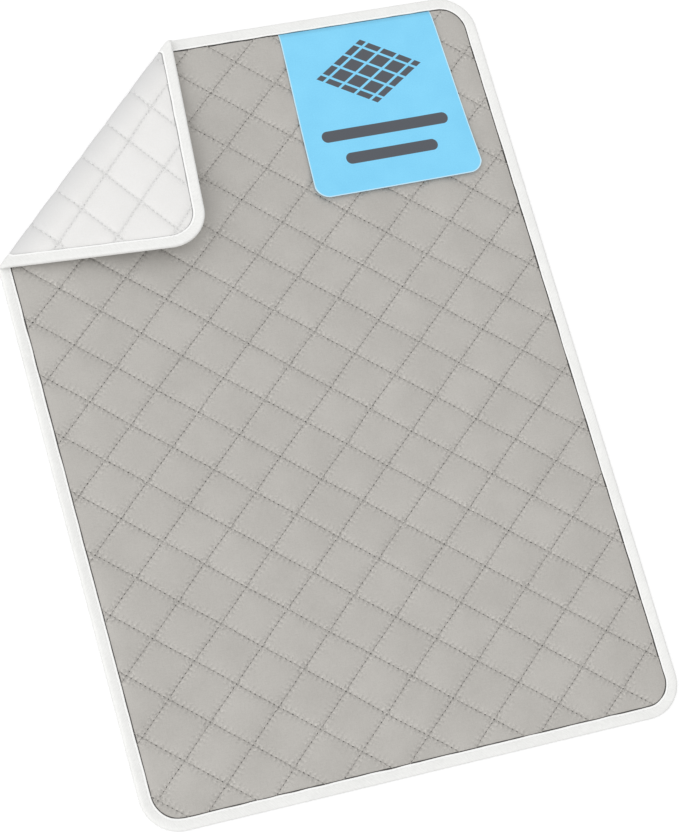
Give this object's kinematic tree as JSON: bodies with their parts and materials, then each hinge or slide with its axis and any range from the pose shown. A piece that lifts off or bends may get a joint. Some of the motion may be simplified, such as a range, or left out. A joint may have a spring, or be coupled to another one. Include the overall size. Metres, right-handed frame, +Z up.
{
  "type": "ironing pad",
  "caption": "Quilted rectangular ironing pad with a bound edge, a corner that folds over and a label that flips up; laid on a table as an ironing surface.",
  "frame": {"origin": "on the table under the middle of the opened-out pad", "axes": "+X across the pad to the label's side, +Y along it to the label's end, +Z up"},
  "size_m": [0.5002, 0.7002, 0.0318],
  "materials": {
    "cover_cloth": "grey woven cloth",
    "wadding_felt": "off-white felt",
    "backing_cloth": "white woven cloth",
    "binding_tape": "white woven tape",
    "label_sheet": "light blue satin sheet"
  },
  "bodies": {
    "pad": {"backing_panel": "backing_cloth", "wadding_panel": "wadding_felt", "cover_panel": "cover_cloth", "binding_main": "binding_tape", "backing_fold": "backing_cloth", "wadding_fold": "wadding_felt", "cover_fold": "cover_cloth", "binding_fold_left": "binding_tape", "binding_fold_top": "binding_tape", "label_tab": "label_sheet"},
    "corner_flap": {"backing_corner": "backing_cloth", "wadding_corner": "wadding_felt", "cover_corner": "cover_cloth", "binding_corner": "binding_tape"},
    "label": {"label_flap": "label_sheet"}
  },
  "joints": [
    {"name": "corner_fold", "type": "hinge", "parent": "pad", "child": "corner_flap", "pos_m": [-0.14613, 0.25648, 0.0057], "axis": [-0.7431, -0.6691, 0], "range_deg": [-9.5, 170.5], "deforming": ["backing_fold", "wadding_fold", "cover_fold", "binding_fold_left", "binding_fold_top"]},
    {"name": "label_flip", "type": "hinge", "parent": "pad", "child": "label", "pos_m": [0.135, 0.33605, 0.0061], "axis": [-1, 0, 0], "range_deg": [0, 165]}
  ]
}
